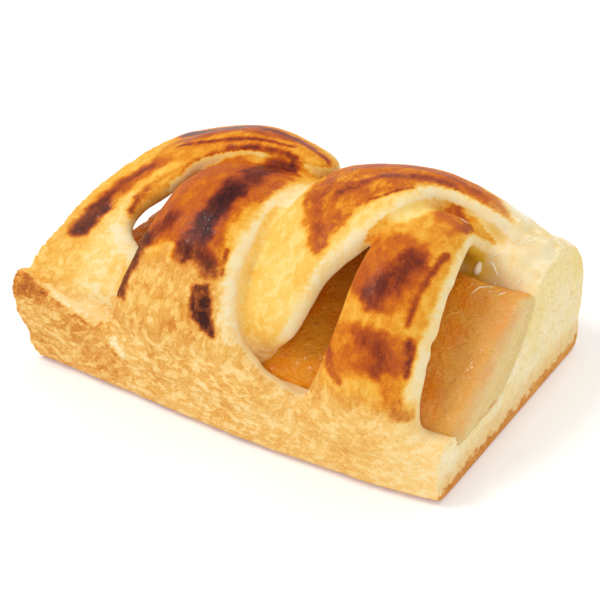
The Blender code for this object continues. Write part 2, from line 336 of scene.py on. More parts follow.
@dataclass(frozen=True)
class Strap:
    """A ribbon of dough laid over the skin, one station to a row.

    A station holds the wrap angle, x of the left and the right edge, how far each edge stands proud of the
    skin, and the thickness there. The two roundness powers make the section a soft oblong.
    """

    name: str
    stations: Profile
    steps: int = 150
    around: int = 56
    crown: float = 1.4
    side_power: float = 0.62
    top_power: float = 0.75

    def build(self) -> bpy.types.Object:
        """Loft the ribbon with rounded edges, its sections square to the skin.

        Returns:
            The closed ribbon.
        """
        turn = np.linspace(0, 2 * np.pi, self.around, endpoint=False)
        across = np.copysign(np.abs(np.cos(turn)) ** self.side_power, np.cos(turn))
        out = np.copysign(np.abs(np.sin(turn)) ** self.top_power, np.sin(turn))
        rings = []
        for row in self.stations.step(np.linspace(0, 1, self.steps)):
            angle, left, right, lift_left, lift_right, thick = row
            share = (across + 1) / 2
            x = left + (right - left) * share
            lift = lift_left + (lift_right - lift_left) * share - thick / 2 + thick / 2 * out
            lift += np.where(out > 0, self.crown * (1 - across * across) * out, 0.0)
            angles = np.full_like(x, angle)
            rings.append(SKIN.point(x, angles) + SKIN.normal(x, angles) * lift[:, None])
        return tube(self.name, np.array(rings))

    def top(self, steps: int = 200, wide: int = 60) -> tuple[np.ndarray, np.ndarray]:
        """Sample the strap's outer face.

        Args:
            steps: How many rows of places along the strap.
            wide: How many places across it.

        Returns:
            Places in millimetres, and the share across the strap from 0 at its left to 1 at its right edge.
        """
        rows = self.stations.step(np.linspace(0, 1, steps))
        share = np.tile(np.linspace(0, 1, wide), steps)
        angle, left, right, lift_left, lift_right, _ = (column.repeat(wide) for column in rows.T)
        x = left + (right - left) * share
        lift = lift_left + (lift_right - lift_left) * share + self.crown * (1 - (2 * share - 1) ** 2)
        return SKIN.point(x, angle) + SKIN.normal(x, angle) * lift[:, None], share


STRAPS = (
    Strap("strap_4", Profile((
        (-52, 8, 70, -3.0, -3.0, 4.0), (-38, 10.5, 58, -0.3, -0.3, 6.5), (-15, 16, 49.5, 0.0, 0.0, 7.5),
        (0, 18.6, 47.0, 0.2, 0.0, 7.5), (15, 21.3, 46.8, 0.4, 0.2, 7.5), (32, 22.8, 46.9, 0.5, 0.4, 7.5),
        (50, 22.6, 46.2, 0.3, 0.5, 7.5), (66, 22.6, 45.0, -0.4, 0.4, 7.5), (82, 23.5, 43.4, -2.0, 0.3, 7.2),
        (98, 26.5, 42.0, -3.8, -1.0, 7.0), (114, 31, 44, -6.4, -5.6, 6.4), (140, 38, 58, -8.0, -7.0, 5.5),
        (164, 44, 66, -8.0, -7.5, 5.0), (186, 47, 70, -8.5, -8.0, 4.0),
    ))),
    Strap("strap_3", Profile((
        (232, -24, 76, -3.0, -3.0, 4.0), (218, -20, 76, -0.3, -0.3, 6.5), (195, -16, 76, 0.0, 0.0, 7.5),
        (176, -9, 76, 0.3, 0.2, 7.5), (155, -3, 74, 0.6, 0.3, 7.5), (138, -0.8, 70, 0.8, 0.4, 7.5),
        (125, -1.2, 57, 0.9, 0.4, 7.5), (116, -1.5, 40, 1.0, 0.6, 7.5), (108, -1.5, 29.5, 1.0, 0.8, 7.5),
        (96, -2.0, 26.8, 1.2, 0.8, 7.5), (80, -3.0, 24.2, 0.4, 0.8, 7.5), (66, -5.0, 20.0, -2.6, 0.4, 7.5),
        (50, -8, 14.6, -6.5, -1.2, 7.5), (32, -11, 12.4, -8.2, -3.6, 7.0), (15, -13, 9.0, -8.8, -6.4, 6.0),
        (0, -12, 4.6, -9.0, -8.4, 5.0), (-12, -9, 1.0, -9.2, -9.2, 3.6),
    ))),
    Strap("strap_2", Profile((
        (-52, -50, 28, -3.0, -3.0, 4.0), (-38, -45, 24, -0.3, -0.3, 6.5), (-15, -38.8, 16, 0.0, 0.0, 7.5),
        (-4, -37.8, 7.6, 0.2, 0.4, 7.5), (8, -36.9, 0.8, 0.3, 0.8, 7.5), (22, -36.0, -2.8, 0.5, 1.0, 7.5),
        (40, -34.4, -4.8, 0.6, 1.0, 7.5), (57, -34.0, -4.6, 0.3, 0.8, 7.5), (72, -34.6, -3.8, -0.7, 0.0, 7.5),
        (85, -34.8, -2.8, -3.2, -1.2, 7.0), (101, -31, -1.0, -7.0, -3.8, 6.5), (125, -21, 2, -8.6, -7.4, 6.0),
        (150, -14, 5, -8.8, -8.4, 5.5), (172, -9, 7, -9.0, -8.8, 5.0), (190, -6, 5, -9.2, -9.2, 3.8),
    ))),
    Strap("strap_1", Profile((
        (232, -76, -8, -3.0, -3.0, 4.0), (218, -76, -12, -0.3, -0.3, 6.5), (195, -76, -16, 0.0, 0.0, 7.5),
        (176, -76, -14, 0.2, 0.3, 7.5), (155, -76, -10, 0.3, 0.6, 7.5), (135, -76, -6.5, 0.4, 0.8, 7.5),
        (118, -76, -3.8, 0.5, 1.0, 7.5), (107, -76, -7.6, 0.5, 1.0, 7.5), (100, -76, -21.0, 0.5, 1.0, 7.5),
        (91, -76, -33.2, 0.5, 0.9, 7.5), (78, -76, -37.0, 0.4, 0.6, 7.5), (66, -76, -42.4, 0.2, 0.0, 7.5),
        (56, -76, -43.0, 0.0, -1.6, 7.5), (46, -76, -39.4, -0.4, -4.0, 7.2),
        (33, -76, -33.6, -1.4, -5.4, 7.0), (18, -76, -32.4, -3.0, -5.8, 6.2),
        (2, -76, -31.6, -4.4, -6.2, 5.2), (-12, -76, -31.6, -6.0, -6.8, 4.2),
    ))),
    Strap("front_lip", Profile((
        (-52, -90, -24, -3.0, -3.0, 4.0), (-38, -90, -30, -0.3, -0.3, 6.5), (-15, -90, -38.0, 0.0, 0.5, 7.5),
        (-4, -90, -44.5, 0.2, 1.0, 7.5), (6, -90, -51.0, 0.4, 1.3, 7.2), (15, -90, -57.0, 0.6, 1.3, 6.8),
        (22, -90, -63.0, 0.8, 1.3, 6.4),
    ))),
)


@dataclass(frozen=True)
class Trough:
    """The floor and the two walls that the straps rise from, with the bank of dough behind the pear."""

    bank: Profile = Profile((
        (-66, 24.0), (-45, 24.4), (-20, 24.8), (10, 28), (32, 33.5), (45, 37.5), (55, 34.0), (66, 31.0),
    ))
    reach: float = 67.0
    wall: float = 8.0
    floor: float = 11.0
    full_bank: float = 32.0
    rim: float = 15.5
    steps: int = 70

    def outline(self, x: float) -> list[tuple[float, float]]:
        """List the corners of the section.

        Args:
            x: The place along the pastry, in millimetres.

        Returns:
            Corners as (y, z), from the outer front foot round to the outer back foot.
        """
        here = np.array([x])
        front = [-SKIN.point(here, np.array([float(angle)]))[0, 1] - 0.3 for angle in (-86, -70, -45, -25)]
        back = SKIN.back.at(here)[0] - 0.3
        inner = SKIN.front.at(here)[0] - self.wall
        bank = self.bank.at(here)[0]
        climb = bank - self.floor
        scale = min(1.0, climb / (self.full_bank - self.floor))
        middle = (bank + SKIN.shoulder) / 2
        return [
            (4.0 - front[0], 0.0), (1.2 - front[0], 0.9), (-front[1], 4.4), (-front[2], 10.0),
            (-front[3], self.rim - 1.5), (2.0 - front[3], self.rim), (-inner - 2.0, self.rim),
            (-inner, self.rim - 1.5), (1.0 - inner, self.floor + 1.0), (3.0 - inner, self.floor),
            (-8.0, self.floor), (-0.6, self.floor + 5.4 * scale), (6.4, self.floor + 12.6 * scale),
            (10.4, self.floor + 19.4 * scale), (11.8, bank - 0.12 * climb), (14.5, bank),
            (self.inset(here, bank) - 3.5, bank), (self.inset(here, middle) - 2.5, middle),
            (back, self.rim), (back, 5.0), (back - 0.8, 1.0), (back - 3.0, 0.0),
        ]

    def inset(self, x: np.ndarray, height: float) -> float:
        """Find how far from the middle the back skin lies at a height above the shoulder."""
        share = min(max(height - SKIN.shoulder, 0.0) / (SKIN.crest.at(x)[0] - SKIN.shoulder), 0.99)
        return SKIN.back.at(x)[0] * math.sqrt(1 - share * share)

    def build(self) -> bpy.types.Object:
        """Loft the section along the pastry.

        Returns:
            The closed trough.
        """
        rings = [
            [(x, y, z) for y, z in self.outline(x)] for x in np.linspace(-self.reach, self.reach, self.steps)
        ]
        return tube("trough", np.array(rings))


class Side(Enum):
    """An end of the pastry, by the way it faces along x."""

    LEFT = -1
    RIGHT = 1


@dataclass(frozen=True)
class Ends:
    """The two upright cuts, square at the right and aslant at the left, and the lean of one corner.

    Attributes:
        right: x of the right cut.
        left: x of the left cut in the middle.
        slant: How far the left cut is turned.
        flare: How far the front corner of the left end leans out.
        lip_top: The height up to which that corner leans.
        block: The size of the blocks that cut, in metres.
        half_block: Half the depth of those blocks, in millimetres.
    """

    right: float = 55.0
    left: float = -51.8
    slant: float = math.radians(15.6)
    flare: float = 5.0
    lip_top: float = 27.0
    block: tuple[float, float, float] = (0.08, 0.2, 0.2)
    half_block: float = 40.0

    def cut(self, obj: bpy.types.Object, left_inset: float = 0.0, right_inset: float = 0.0) -> None:
        """Cut both ends off an object.

        Args:
            obj: A closed mesh.
            left_inset: How far inside the left cut it ends.
            right_inset: How far inside the right cut it ends.
        """
        for side, x, turn in (
            (Side.LEFT, self.left + left_inset, self.slant),
            (Side.RIGHT, self.right - right_inset, 0.0),
        ):
            bpy.ops.object.select_all(action="DESELECT")
            reach = side.value * self.half_block
            middle = Vector((reach * math.cos(turn) + x, -reach * math.sin(turn), 0)) * MM
            bpy.ops.mesh.primitive_cube_add(
                size=1, location=middle, rotation=(0, 0, -turn), scale=self.block,
            )
            block = bpy.context.object
            apply_modifier(obj, "BOOLEAN", operation="DIFFERENCE", solver="MANIFOLD", object=block)
            bpy.data.objects.remove(block)

    def lean(self, obj: bpy.types.Object) -> None:
        """Lean the front corner of the left end outward with height, as the free lip of dough there does.

        Args:
            obj: A mesh whose ends are cut.
        """
        places = points_of(obj)
        x, y, z = (places / MM).T
        share = rise(-y, 24, 10) * rise(-x, 44, 12) * fall(z, 36, 9)
        places[:, 0] -= self.flare * share * (np.minimum(z, self.lip_top) / self.lip_top - 0.55) * MM
        move_points(obj, places)

    def nearness(self, points: np.ndarray) -> tuple[np.ndarray, np.ndarray]:
        """Measure how far places in millimetres lie inside the left and the right cut."""
        x, y, _ = points.T
        return (x - self.left - y * math.tan(self.slant)) * math.cos(self.slant), self.right - x


ENDS = Ends()


@dataclass(frozen=True)
class Patch:
    """A part of a strap that the oven browned more or less, laid out as points of x and wrap angle.

    A patch with a reach is a stroke along its points; one without is the area that they enclose.

    Attributes:
        points: Places as x in millimetres and wrap angle in degrees.
        depth: How dark it browned, from 0 for cream to 1 for nearly black.
        reach: Half the width of a stroke, in millimetres.
        soft: How wide its edge fades.
        ragged: How unevenly its edge runs.
        wrap: How far it runs round onto the strap's edges.
    """

    points: Rows
    depth: float
    reach: float = 0.0
    soft: float = 1.5
    ragged: float = 0.7
    wrap: float = -0.15

    def share(self, x: np.ndarray, angle: np.ndarray, wobble: np.ndarray) -> np.ndarray:
        """Find how much of the patch lies at each place, from 0 to 1.

        Args:
            x: Places along the pastry.
            angle: Wrap angles in degrees.
            wobble: Random numbers that make the edge ragged.

        Returns:
            Shares from 0 to 1.
        """
        here = np.stack([x, angle * MM_PER_DEGREE], axis=1)
        corners = np.array(self.points, float) * (1.0, MM_PER_DEGREE)
        ends = corners[1:] if self.reach else np.roll(corners, -1, axis=0)
        starts = corners[:-1] if self.reach else corners
        gap = np.full(len(here), 1e9)
        inside = np.zeros(len(here), bool)
        for a, b in zip(starts, ends):
            way = b - a
            along = np.clip((here - a) @ way / max(way @ way, 1e-9), 0, 1)
            gap = np.minimum(gap, np.linalg.norm(here - a - along[:, None] * way, axis=1))
            if not self.reach and a[1] != b[1]:
                crosses = (a[1] > here[:, 1]) != (b[1] > here[:, 1])
                inside ^= crosses & (here[:, 0] < a[0] + (here[:, 1] - a[1]) * way[0] / way[1])
        depth_in = self.reach - gap if self.reach else np.where(inside, gap, -gap)
        return ease((depth_in + self.ragged * wobble) / self.soft + 0.5)


BROWNING = {
    # The first strap, over the left end.
    "strap_1": (
        Patch(((-45, 88), (-36, 86), (-28, 92), (-14, 103), (-5, 112), (-5, 122), (-24, 125), (-48, 122)),
              depth=0.48, soft=2.5, wrap=0.35),
        Patch(((-42.3, 101), (-34.9, 103), (-28.7, 108), (-21.7, 109), (-15.5, 113)), depth=0.67, reach=1.5,
              soft=1.8),
        Patch(((-44, 109), (-36, 110), (-28, 113)), depth=0.92, reach=2.0, soft=2.0),
        Patch(((-28, 113), (-20, 115), (-11, 117)), depth=0.80, reach=1.4, soft=1.6),
        Patch(((-41, 96), (-32.4, 98), (-25.9, 101), (-19, 105), (-12.8, 109)), depth=0.80, reach=0.4,
              soft=0.8, ragged=0.3, wrap=0.35),
        Patch(((-27.2, 97), (-20.9, 101), (-15.5, 104), (-10.6, 106)), depth=0.80, reach=0.35, soft=0.8,
              ragged=0.3, wrap=0.35),
        Patch(((-34, 90), (-30.1, 94), (-24.7, 98)), depth=0.66, reach=0.4, soft=0.8, ragged=0.3,
              wrap=0.35),
        Patch(((-12.2, 116), (-9.1, 116), (-6, 117)), depth=0.80, reach=0.9),
        Patch(((-53, 50), (-51, 60), (-49.6, 68), (-47, 77), (-43, 86)), depth=0.60, reach=3.0, soft=2.4,
              ragged=1.0),
        Patch(((-51, 62), (-49.5, 70), (-47.5, 78), (-44.5, 85)), depth=0.76, reach=1.2, soft=1.6,
              ragged=1.0),
        Patch(((-53.0, 48), (-51.6, 55), (-50.2, 61)), depth=0.88, reach=2.6, soft=2.2, ragged=1.0),
        Patch(((-42.6, 60), (-42.5, 68), (-40, 74)), depth=0.70, reach=0.8, soft=1.4),
        Patch(((-40, 74), (-37, 82), (-34.8, 86)), depth=0.50, reach=1.0, soft=1.6, wrap=0.2),
        # Its back, out of the photo's sight, is browned in the same way.
        Patch(((-44, 150), (-34, 146), (-22, 148), (-18, 160), (-28, 170), (-42, 166)), depth=0.62,
              soft=3.6, ragged=1.6),
        Patch(((-38, 152), (-30, 158), (-24, 164)), depth=0.80, reach=1.4, soft=3.2, ragged=1.2),
        Patch(((-14, 138), (-17, 152), (-20, 166)), depth=0.58, reach=0.9, soft=2.0),
    ),
    # The second strap, the widest one.
    "strap_2": (
        Patch(((-35, 79), (-35, 90), (-27, 97), (-19, 99), (-16, 105), (-11, 108), (-8, 101), (-7.5, 88),
               (-6.0, 80), (-7.0, 73), (-9.3, 67), (-10.8, 59), (-11.0, 52), (-9.8, 45), (-8.6, 36),
               (-13, 34), (-16.3, 38), (-21, 43), (-26, 42), (-36, 36), (-38, 60), (-38, 79)), depth=0.61,
              soft=2.4, ragged=1.2),
        Patch(((-18.5, 42), (-16.5, 58), (-15.2, 70), (-14.5, 85), (-13.6, 97), (-12.0, 104)), depth=0.81,
              reach=3.1, soft=3.0, ragged=1.2),
        Patch(((-17.5, 44), (-16.2, 58), (-15.2, 70)), depth=0.94, reach=2.2, soft=2.8, ragged=1.2),
        Patch(((-14.5, 92), (-13, 101), (-11, 103)), depth=0.86, reach=1.2, soft=1.8),
        Patch(((-18.9, 46), (-15.6, 44), (-12.5, 41), (-11.5, 38)), depth=0.82, reach=1.8, soft=2.4),
        Patch(((-26, 52), (-29, 46), (-31.5, 40)), depth=0.78, reach=2.0, soft=2.6),
        Patch(((-32.6, 42), (-34.0, 30), (-35.4, 16)), depth=0.86, reach=2.7, soft=2.2, ragged=1.0,
              wrap=0.35),
        Patch(((-9.1, 47), (-8, 37)), depth=0.82, reach=0.45, soft=0.9, ragged=0.3),
        Patch(((-14.5, 30), (-10.1, 32), (-7.6, 20), (-5.5, 10), (-8.6, 13), (-12.8, 17)), depth=0.84,
              soft=1.0, ragged=0.5),
        Patch(((-12.4, 27), (-10.6, 22), (-8.6, 15)), depth=0.92, reach=1.3, soft=2.2),
    ),
    # The third strap.
    "strap_3": (
        Patch(((-0.5, 84), (2.5, 75), (5.7, 66), (8.5, 60), (12.1, 55), (13.6, 63), (15.7, 73), (17.4, 80),
               (19.4, 88), (23, 97), (27.5, 106), (33, 112), (44, 119), (38, 128), (24, 132), (10, 130),
               (2, 121), (-2, 100)), depth=0.55, soft=2.4, ragged=1.1),
        Patch(((3, 92), (5, 80), (9, 68), (12, 60)), depth=0.66, reach=1.4, soft=2.4),
        Patch(((9, 82), (11.2, 90), (14.8, 98), (20, 103), (24.9, 110), (30, 113)), depth=0.73, reach=1.2,
              soft=1.8),
        Patch(((6, 104), (14, 112), (26, 118), (36, 119)), depth=0.70, reach=1.2, soft=2.0),
        Patch(((18.0, 84), (20.5, 90), (23.4, 97), (27.2, 106), (31.5, 112)), depth=0.74, reach=0.35,
              soft=0.9, ragged=0.3, wrap=0.3),
        Patch(((26.4, 101), (28.8, 106), (31.5, 110), (34.5, 113)), depth=0.86, reach=0.5, soft=0.7,
              ragged=0.3, wrap=0.6),
        # Its back, out of the photo's sight, is browned in the same way.
        Patch(((8, 150), (20, 146), (34, 150), (36, 164), (22, 172), (6, 166)), depth=0.62, soft=3.6,
              ragged=1.6),
        Patch(((12, 156), (20, 160), (30, 158)), depth=0.80, reach=1.6, soft=3.2, ragged=1.2),
        Patch(((4, 140), (2, 152), (-2, 164)), depth=0.58, reach=0.9, soft=2.0),
    ),
    # The fourth strap, by the cut end.
    "strap_4": (
        Patch(((30, 114), (34.5, 114), (38.4, 108), (39.0, 94), (37.5, 84), (33, 88), (29.5, 100)),
              depth=0.60, soft=2.2, wrap=0.5),
        Patch(((32.5, 112), (37.0, 108), (38.6, 96)), depth=0.72, reach=0.8, soft=1.4, wrap=0.35),
        Patch(((35.5, 88), (36.5, 72)), depth=0.50, reach=2.2, soft=2.4),
        Patch(((20, 108), (28, 107), (30, 94), (28, 82), (24, 79), (19, 84)), depth=0.16, soft=3.0,
              ragged=1.2),
        Patch(((22, 70), (27.6, 74), (36, 76), (39.4, 66), (39.6, 52), (36, 44), (30.5, 42), (26.3, 44),
               (21, 48), (21, 60)), depth=0.60, soft=2.6, ragged=1.0),
        Patch(((35.0, 66), (33.6, 56), (30.5, 47)), depth=0.80, reach=3.0, soft=3.6, ragged=1.2),
        Patch(((40.0, 78), (39.6, 63), (39.8, 54), (40.4, 44)), depth=0.74, reach=0.6, soft=1.0,
              ragged=0.3),
        Patch(((22.5, 31), (31.1, 36), (36, 38), (41, 40), (43.6, 34), (44, 24), (42.6, 14), (38.5, 18),
               (32.9, 20), (28, 12), (22.5, 14), (21.5, 22)), depth=0.54, soft=2.6, ragged=1.2),
        Patch(((29, 35), (37, 37), (41.5, 30), (40, 18), (33, 19), (28, 25)), depth=0.65, soft=4.0,
              ragged=1.4),
        Patch(((33.5, 31), (36.5, 28), (37.5, 22)), depth=0.76, reach=2.4, soft=3.2, ragged=1.2),
        Patch(((42.0, 40), (43.3, 33), (43.8, 25)), depth=0.80, reach=0.9, soft=1.4),
        Patch(((28, 11), (25.0, 14), (23.5, 20)), depth=0.66, reach=1.1, soft=1.8),
        Patch(((40.2, 19), (42, 12), (43.9, 2)), depth=0.54, reach=2.0, soft=2.6, ragged=1.2),
    ),
}


@dataclass(frozen=True)
class Signal:
    """A number on its way through a finish, so that shader maths reads as ordinary arithmetic."""

    finish: "Finish"
    socket: bpy.types.NodeSocket

    def _math(self, operation: str, first: object, second: object) -> "Signal":
        """Add one Math node."""
        return self.finish.node("ShaderNodeMath", {"operation": operation}, {0: first, 1: second})

    def __add__(self, other: object) -> "Signal":
        """Add."""
        return self._math("ADD", self, other)

    def __radd__(self, other: object) -> "Signal":
        """Add to a number."""
        return self._math("ADD", other, self)

    def __sub__(self, other: object) -> "Signal":
        """Subtract."""
        return self._math("SUBTRACT", self, other)

    def __rsub__(self, other: object) -> "Signal":
        """Subtract from a number."""
        return self._math("SUBTRACT", other, self)

    def __mul__(self, other: object) -> "Signal":
        """Multiply."""
        return self._math("MULTIPLY", self, other)

    def __rmul__(self, other: object) -> "Signal":
        """Multiply a number."""
        return self._math("MULTIPLY", other, self)


def srgb(red: int, green: int, blue: int) -> tuple[float, float, float, float]:
    """Turn a colour of 0 to 255 into the linear one that a socket takes.

    Args:
        red: The red part, from 0 to 255.
        green: The green part.
        blue: The blue part.

    Returns:
        Red, green, blue and alpha, from 0 to 1.
    """
    parts = [value / 255 for value in (red, green, blue)]
    linear = [v / 12.92 if v <= 0.04045 else ((v + 0.055) / 1.055) ** 2.4 for v in parts]
    return (*linear, 1.0)


class Finish:
    """A material made of nodes, with the few ways of adding nodes that the finishes share."""

    def __init__(self, name: str, **constants: object) -> None:
        """Start a material.

        Args:
            name: The material's name.
            constants: What the shader's own sockets hold, with spaces written as underscores.
        """
        self.material = bpy.data.materials.new(name)
        self.material.use_nodes = True
        self.tree = self.material.node_tree
        self.shader = self.tree.nodes["Principled BSDF"]
        for key, value in constants.items():
            self.shader.inputs[key.replace("_", " ")].default_value = value

    def node(
        self, kind: str, settings: dict | None = None, sockets: dict | None = None, out: int = 0,
    ) -> Signal:
        """Add any node.

        Args:
            kind: Blender's type of node.
            settings: Properties of the node, set first; "stops" fills a colour ramp.
            sockets: Values or links of its inputs, by name or number.
            out: Which output is passed on.

        Returns:
            That output.
        """
        node = self.tree.nodes.new(kind)
        for key, value in (settings or {}).items():
            if key == "stops":
                self._fill(node.color_ramp, value)
            else:
                setattr(node, key, value)
        for key, value in (sockets or {}).items():
            if isinstance(value, Signal):
                self.tree.links.new(value.socket, node.inputs[key])
            else:
                node.inputs[key].default_value = value
        return Signal(self, node.outputs[out])

    def _fill(self, ramp: bpy.types.ColorRamp, stops: tuple) -> None:
        """Give a colour ramp its stops.

        Args:
            ramp: The ramp of a new node.
            stops: Pairs of a place and a colour, in order.
        """
        while len(ramp.elements) > 1:
            ramp.elements.remove(ramp.elements[-1])
        ramp.elements[0].position, ramp.elements[0].color = stops[0]
        for place, colour in stops[1:]:
            ramp.elements.new(place).color = colour

    def ramp(self, value: Signal, stops: tuple) -> Signal:
        """Turn a number into a colour."""
        return self.node("ShaderNodeValToRGB", {"stops": stops}, {0: value})

    def mix(self, share: object, first: object, second: object) -> Signal:
        """Mix two colours."""
        settings = {"data_type": "RGBA", "blend_type": "MIX", "clamp_factor": True}
        return self.node("ShaderNodeMix", settings, {0: share, 6: first, 7: second}, 2)

    def band(self, value: Signal, low: float, high: float, start: float = 0.0, end: float = 1.0) -> Signal:
        """Ease a number from start to end while it runs from low to high."""
        settings = {"interpolation_type": "SMOOTHSTEP"}
        return self.node("ShaderNodeMapRange", settings, {0: value, 1: low, 2: high, 3: start, 4: end})

    def attribute(self, name: str, vector: bool = False) -> Signal:
        """Read a number or vector that the mesh holds."""
        return self.node("ShaderNodeAttribute", {"attribute_name": name}, None, 1 if vector else 2)

    def place(self) -> Signal:
        """Read the object coordinates."""
        return self.node("ShaderNodeTexCoord", None, None, 3)

    def stretch(self, vector: Signal, scale: tuple[float, float, float], shift: float = 0.0) -> Signal:
        """Scale a vector, which stretches the pattern that reads it."""
        return self.node("ShaderNodeMapping", None, {0: vector, 1: (shift, shift, shift), 3: scale})

    def cloud(self, vector: Signal, scale: float, detail: float, rough: float, bend: float = 0.0) -> Signal:
        """Add a noise pattern.

        Args:
            vector: The coordinates that it reads.
            scale: How many bumps fit in one unit.
            detail: How many finer layers are added.
            rough: How strong the finer layers are.
            bend: How far the pattern is distorted.

        Returns:
            Numbers from 0 to 1.
        """
        return self.node("ShaderNodeTexNoise", None, {
            "Vector": vector, "Scale": scale, "Detail": detail, "Roughness": rough, "Distortion": bend,
        })

    def bump(self, height: Signal, distance: float, strength: float) -> Signal:
        """Turn a height into a bumped normal."""
        sockets = {"Height": height, "Distance": distance, "Strength": strength}
        return self.node("ShaderNodeBump", None, sockets)

    def absolute(self, value: Signal) -> Signal:
        """Drop the sign of a number."""
        return self.node("ShaderNodeMath", {"operation": "ABSOLUTE"}, {0: value})

    def feed(self, **sockets: Signal) -> bpy.types.Material:
        """Link signals to the shader's sockets.

        Args:
            sockets: What feeds each socket, with spaces written as underscores.

        Returns:
            The finished material.
        """
        for key, value in sockets.items():
            self.tree.links.new(value.socket, self.shader.inputs[key.replace("_", " ")])
        return self.material


@dataclass(frozen=True)
class CrustFinish:
    """Baked egg-washed dough: cream to nearly black by how far it browned, with crumb where it was cut, and a
    yellow hollow by the pear that is partly syrup-soaked dough and partly painted shade.
    """

    bare: tuple = (
        (0.00, srgb(247, 229, 186)),
        (0.12, srgb(247, 219, 160)),
        (0.24, srgb(246, 206, 132)),
        (0.36, srgb(237, 186, 102)),
        (0.48, srgb(224, 158, 74)),
        (0.60, srgb(202, 124, 52)),
        (0.80, srgb(146, 76, 38)),
        (1.00, srgb(76, 38, 28)),
    )
    washed: tuple = (
        (0.00, srgb(248, 227, 165)),
        (0.12, srgb(250, 218, 134)),
        (0.24, srgb(249, 203, 100)),
        (0.36, srgb(243, 182, 68)),
        (0.46, srgb(234, 154, 40)),
        (0.55, srgb(214, 118, 22)),
        (0.64, srgb(192, 90, 28)),
        (0.74, srgb(160, 68, 30)),
        (0.84, srgb(112, 44, 30)),
        (1.00, srgb(44, 22, 24)),
    )
    crumb_light: tuple = srgb(252, 236, 196)
    # Deeper crumb colour, for real toasting at the foot and for painted shade in the pores.
    crumb_toast_and_pore_shade: tuple = srgb(232, 186, 112)
    crumb_green: tuple = srgb(244, 219, 136)
    # Yellow of the hollow under the fourth strap by the pear: partly syrup-soaked dough, partly painted shade
    # of that recess.
    shaded_syrup_pocket: tuple = srgb(232, 188, 52)

    fleck_depth: float = 0.19
    seam_depth: float = 0.08
    broad_depth: float = 0.40
    grain_depth: float = 0.26
    matt: float = 0.60
    relief: float = 0.00014

    def make(self) -> bpy.types.Material:
        """Build the material.

        Returns:
            The finished material.
        """
        look = Finish(
            "baked_dough", Subsurface_Weight=0.12, Subsurface_Radius=(1.0, 0.55, 0.25),
            Subsurface_Scale=0.0022, Coat_Roughness=0.10, Specular_IOR_Level=0.08,
        )
        place = look.place()
        flow = look.attribute("flow", vector=True)
        wash, crumb, wet = (look.attribute(name) for name in ("wash", "crumb", "wet"))
        flecks = look.cloud(look.stretch(flow, (0.34, 0.22, 1.0)), 1.0, 4.0, 0.62, 0.4)
        grain = look.cloud(place, 1500.0, 3.0, 0.6)
        pores = look.cloud(place, 900.0, 4.0, 0.65)
        tone = self.tone(look, flow, flecks, grain, wash)
        crust = look.mix(wash, look.ramp(tone, self.bare), look.ramp(tone, self.washed))
        # Paint the hollow by the pear: partly syrup-soaked dough, partly painted shade of the recess.
        crust = look.mix(look.attribute("syrup_and_shade"), crust, self.shaded_syrup_pocket)
        colour = look.mix(crumb, crust, self.cut(look, pores))
        gloss = look.band(tone, 0.44, 0.75) * wash * (1.0 - crumb)
        rough = self.matt - gloss * 0.26 - wet * 0.3 + (grain - 0.5) * 0.16
        skin = (flecks * 0.45 + grain * 0.30) * (1.0 - crumb) * (1.0 + gloss * 0.8)
        beads = gloss * look.band(grain, 0.56, 0.70) * 0.35
        return look.feed(
            Base_Color=colour, Roughness=rough, Coat_Weight=beads + wet * 0.6,
            Normal=look.bump(skin + pores * crumb * 1.4, self.relief, 0.6),
        )

    def tone(self, look: Finish, flow: Signal, flecks: Signal, grain: Signal, wash: Signal) -> Signal:
        """Vary how far the crust browned with flecks, seams, broad clouds, grain and brushed streaks.

        Args:
            look: The finish that is being made.
            flow: The pattern's coordinates, along the pastry and round it.
            flecks: The noise whose high parts are pale flecks.
            grain: The finest noise.
            wash: Where the egg wash was brushed.

        Returns:
            How far each place browned, from 0 to 1.
        """
        brown, uneven = look.attribute("brown"), look.attribute("uneven")
        seams = look.cloud(look.stretch(flow, (0.30, 0.16, 1.0), 9.0), 1.0, 4.0, 0.6, 0.5)
        seams = look.band(look.absolute(seams - 0.5), 0.0, 0.07, 1.0, 0.0)
        broad = look.cloud(look.place(), 120.0, 2.0, 0.5)
        pale_flecks = look.band(flecks, 0.46, 0.60)
        mottle = 0.05 - pale_flecks * self.fleck_depth + seams * self.seam_depth
        mottle = (mottle + (broad - 0.5) * self.broad_depth) * uneven + (grain - 0.5) * self.grain_depth
        streaks = look.cloud(look.stretch(flow, (1.1, 0.16, 1.0), 5.0), 1.0, 3.0, 0.6, 0.3)
        drawn = look.band(brown, 0.24, 0.50, 0.06, 0.14) * wash
        return brown + mottle * ((1.0 - wash) * 0.5 + 0.5) + (streaks - 0.5) * drawn

    def cut(self, look: Finish, pores: Signal) -> Signal:
        """Colour the crumb: greener where it is damp, darker in its pores as painted shade of the holes, and
        toasted at its foot.

        Args:
            look: The finish that is being made.
            pores: The noise whose high parts are pores, where the crumb is darkened as painted shade.

        Returns:
            The colour.
        """
        soft = look.cloud(look.place(), 110.0, 2.0, 0.5)
        damp = look.band(soft, 0.36, 0.68) * 0.5 + look.attribute("damp") * 0.5
        cut = look.mix(damp, self.crumb_light, self.crumb_green)
        # Darker in the pores: painted shade of the holes.
        cut = look.mix(look.band(pores, 0.50, 0.68) * 0.44, cut, self.crumb_toast_and_pore_shade)
        return look.mix(look.attribute("toasted") * 0.8, cut, self.crumb_toast_and_pore_shade)


